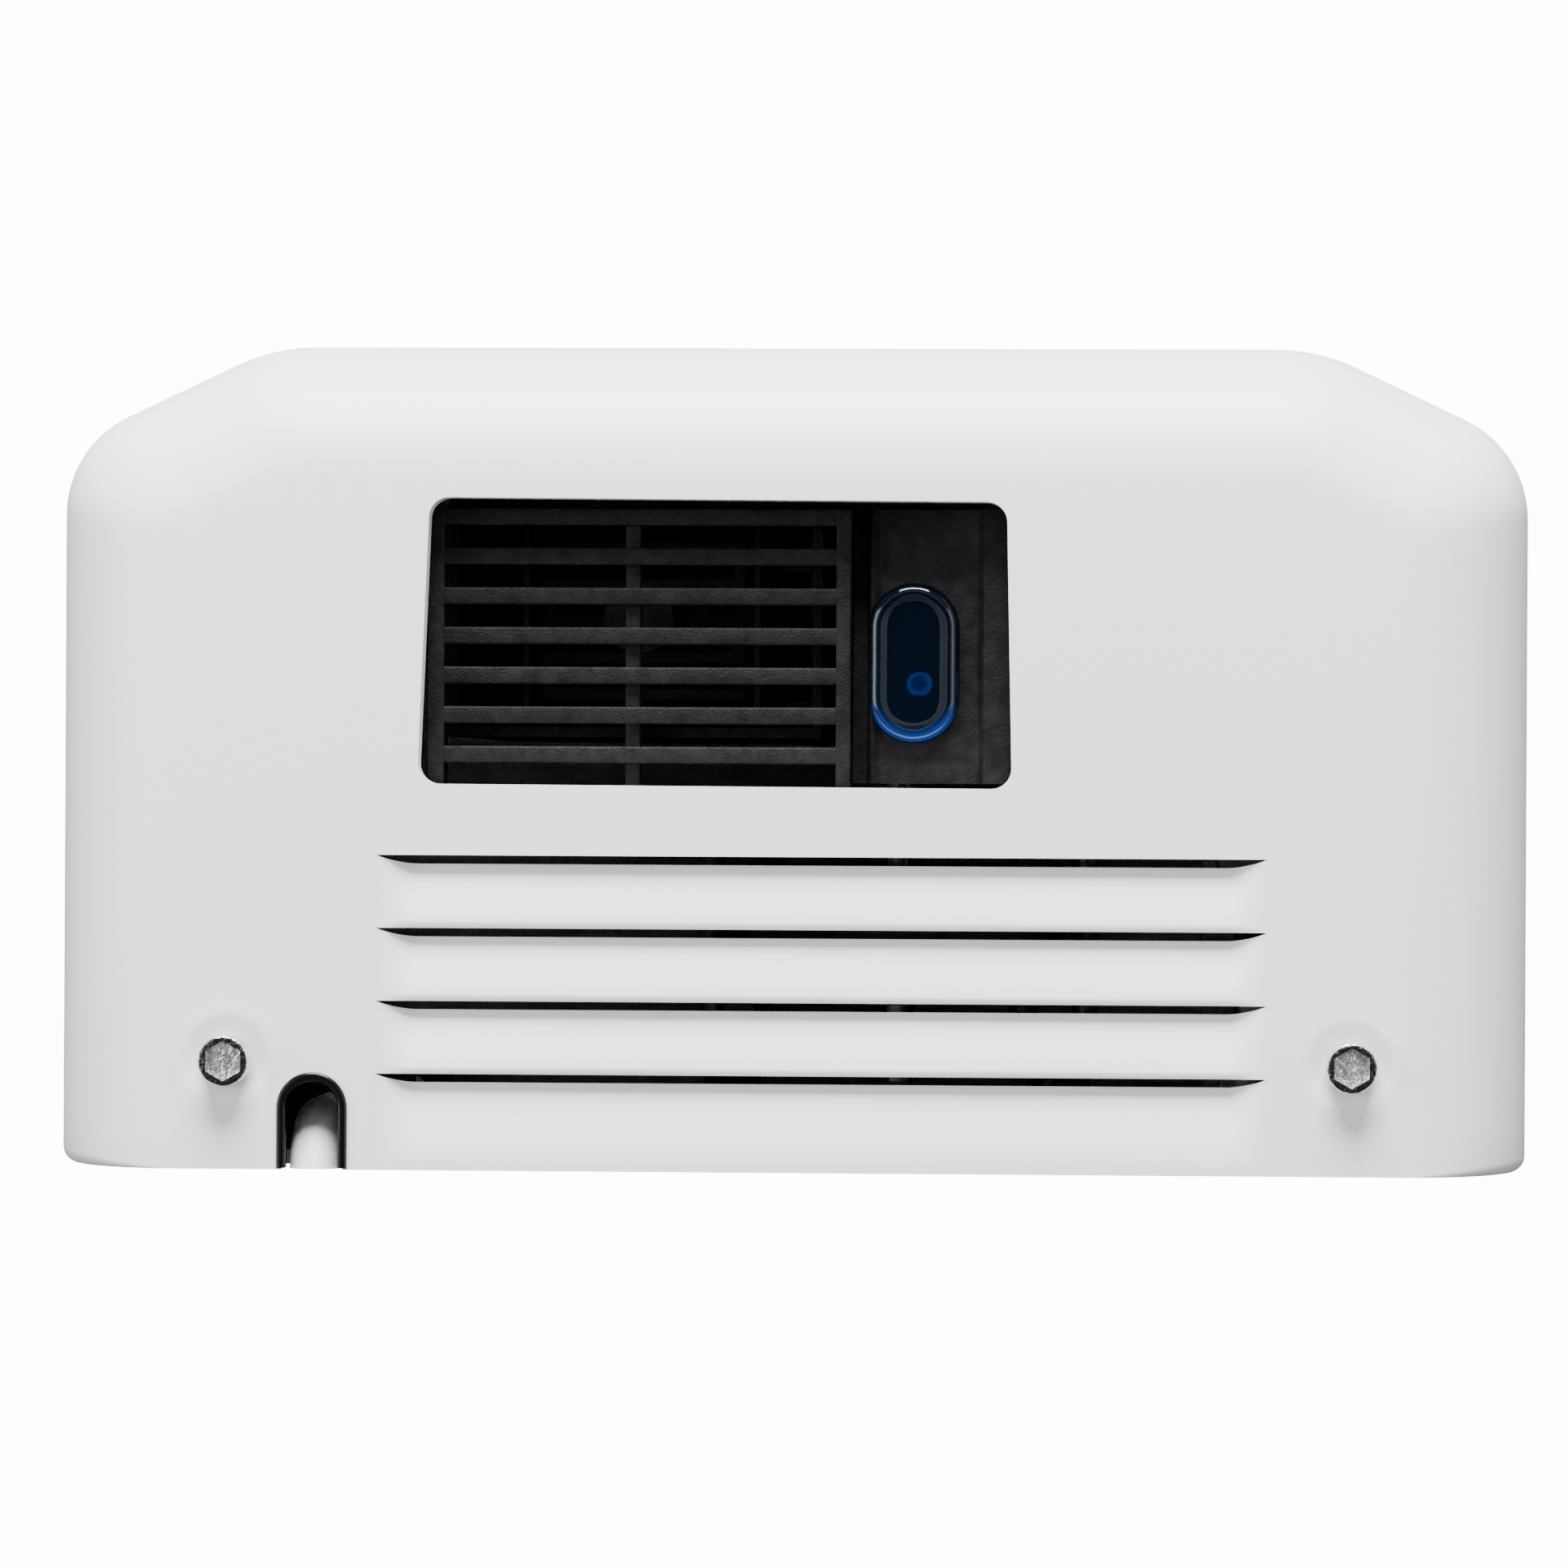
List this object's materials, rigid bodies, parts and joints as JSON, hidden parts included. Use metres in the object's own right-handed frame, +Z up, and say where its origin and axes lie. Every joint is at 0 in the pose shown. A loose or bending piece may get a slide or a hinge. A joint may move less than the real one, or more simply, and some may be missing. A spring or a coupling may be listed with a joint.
{
  "type": "wall-mounted warm-air hand dryer",
  "caption": "Wall-mounted automatic hand dryer: pressed white steel cover, slotted outlet grille, blue sensor lens, intake louvres, centrifugal blower and heater inside.",
  "frame": {"origin": "middle of the base plate's back face, on the wall plane", "axes": "+Z up as mounted, +Y into the wall, so the front faces -Y; +X is to the right for someone looking up at the underside with the wall below"},
  "size_m": [0.294, 0.1755, 0.2563],
  "materials": {
    "powder_coat": "fine satin white powder coat on pressed steel",
    "black_plastic": "spark-textured black moulding",
    "black_rubber": "smooth black rubber, slightly glossy",
    "blue_lens": "polished translucent deep blue polycarbonate",
    "bright_steel": "bright machined steel",
    "galvanised": "galvanised sheet steel",
    "lamination": "stacked electrical steel sheets",
    "copper": "enamelled copper wire",
    "nichrome": "oxidised resistance wire",
    "board_green": "green solder mask on glass-fibre board",
    "mica": "pressed mica sheet",
    "grey_pvc": "light grey PVC cable jacket",
    "cream_nylon": "moulded cream nylon",
    "aluminium": "pressed aluminium",
    "clear_epoxy": "clear epoxy lamp body"
  },
  "bodies": {
    "base": {"base_plate": "galvanised", "scroll_body": "black_plastic", "scroll_back": "black_plastic", "motor_stator": "lamination", "stator_winding_left": "copper", "stator_winding_right": "copper", "bearing_rear": "bright_steel", "bearing_front": "bright_steel", "motor_bracket_rear": "aluminium", "motor_bracket_front": "aluminium", "rubber_mount_left": "black_rubber", "rubber_mount_right": "black_rubber", "bracket_pillar_left": "galvanised", "bracket_pillar_right": "galvanised", "outlet_duct": "black_plastic", "outlet_grille": "black_plastic", "heater_card_left": "mica", "heater_card_right": "mica", "heater_coil_1": "nichrome", "heater_coil_2": "nichrome", "heater_coil_3": "nichrome", "thermal_cutout": "cream_nylon", "sensor_housing": "black_plastic", "sensor_lens": "blue_lens", "sensor_board": "board_green", "ir_emitter": "clear_epoxy", "ir_receiver": "black_plastic", "control_board": "board_green", "board_pillar_1": "cream_nylon", "board_pillar_2": "cream_nylon", "board_pillar_3": "cream_nylon", "board_pillar_4": "cream_nylon", "transformer": "lamination", "relay": "cream_nylon", "range_trimmer_base": "cream_nylon", "run_capacitor": "aluminium", "capacitor_clip": "galvanised", "supply_cable": "grey_pvc", "terminal_block": "cream_nylon", "cable_clamp": "cream_nylon", "earth_screw": "bright_steel"},
    "cover": {"cover_shell": "powder_coat", "cable_notch_edging": "black_rubber", "cover_screw_left": "bright_steel", "cover_screw_right": "bright_steel", "cover_nut_left": "galvanised", "cover_nut_right": "galvanised"},
    "blower_rotor": {"impeller": "aluminium", "impeller_nut": "galvanised", "motor_shaft": "bright_steel", "rotor_core": "lamination"},
    "range_knob": {"range_trimmer_knob": "black_plastic"}
  },
  "joints": [
    {"name": "cover_pull_off", "type": "slide", "parent": "base", "child": "cover", "axis": [0, -1, 0], "range_m": [0, 0.18]},
    {"name": "rotor_spin", "type": "hinge", "parent": "base", "child": "blower_rotor", "pos_m": [0.018, -0.06, 0.04], "axis": [0, -1, 0], "continuous": true},
    {"name": "range_turn", "type": "hinge", "parent": "base", "child": "range_knob", "pos_m": [0.118, -0.03, -0.028], "axis": [0, -1, 0], "range_deg": [-135, 135]}
  ]
}
